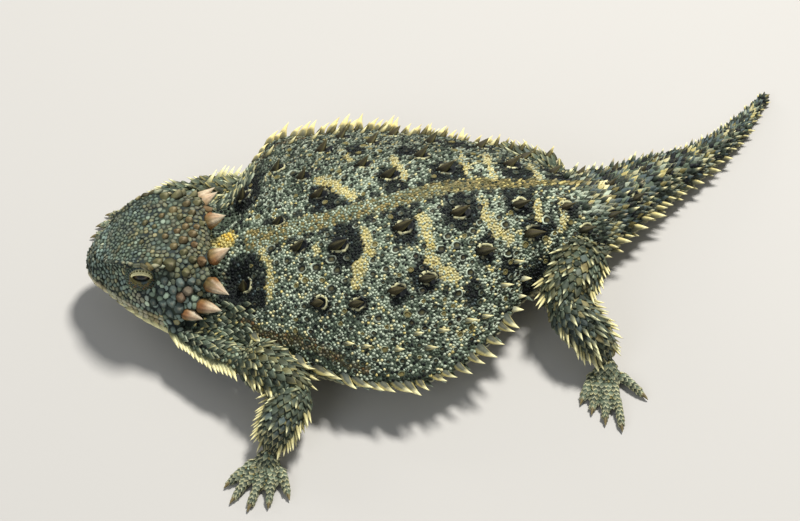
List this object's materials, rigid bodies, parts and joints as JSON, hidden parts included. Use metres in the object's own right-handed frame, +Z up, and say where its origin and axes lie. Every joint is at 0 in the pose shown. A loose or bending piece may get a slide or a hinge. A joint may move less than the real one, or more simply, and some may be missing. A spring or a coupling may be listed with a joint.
{
  "type": "horned lizard model",
  "caption": "Life-size still model of a horned lizard resting flat: horned head, broad flattened trunk with fringe spines, spread legs and a short curved tail.",
  "frame": {"origin": "on the ground under the centre of the whole model's bounding box", "axes": "+X towards the tail, along the length; +Y to the animal's right; +Z up"},
  "size_m": [0.1138, 0.084, 0.0229],
  "materials": {
    "hide": "matt scaly hide, dark olive grey",
    "pale_hide": "matt scaly hide, cream and olive, on the feet",
    "horn": "satin horn, orange brown with pale tips",
    "eye": "glossy, dark"
  },
  "bodies": {
    "root": {"head": "hide", "lower_jaw": "hide", "eye_left": "eye", "eye_right": "eye", "horn_occipital_left": "horn", "horn_occipital_right": "horn", "horn_temporal_upper_left": "horn", "horn_temporal_upper_right": "horn", "horn_temporal_middle_left": "horn", "horn_temporal_middle_right": "horn", "horn_temporal_lower_left": "horn", "horn_temporal_lower_right": "horn", "neck": "hide", "torso": "hide", "tail_base": "hide", "tail_tip": "hide", "leg_fore_left_upper": "hide", "leg_fore_left_lower": "hide", "leg_fore_left_foot": "pale_hide", "leg_fore_right_upper": "hide", "leg_fore_right_lower": "hide", "leg_fore_right_foot": "pale_hide", "leg_hind_left_upper": "hide", "leg_hind_left_lower": "hide", "leg_hind_left_foot": "pale_hide", "leg_hind_right_upper": "hide", "leg_hind_right_lower": "hide", "leg_hind_right_foot": "pale_hide"}
  },
  "joints": []
}
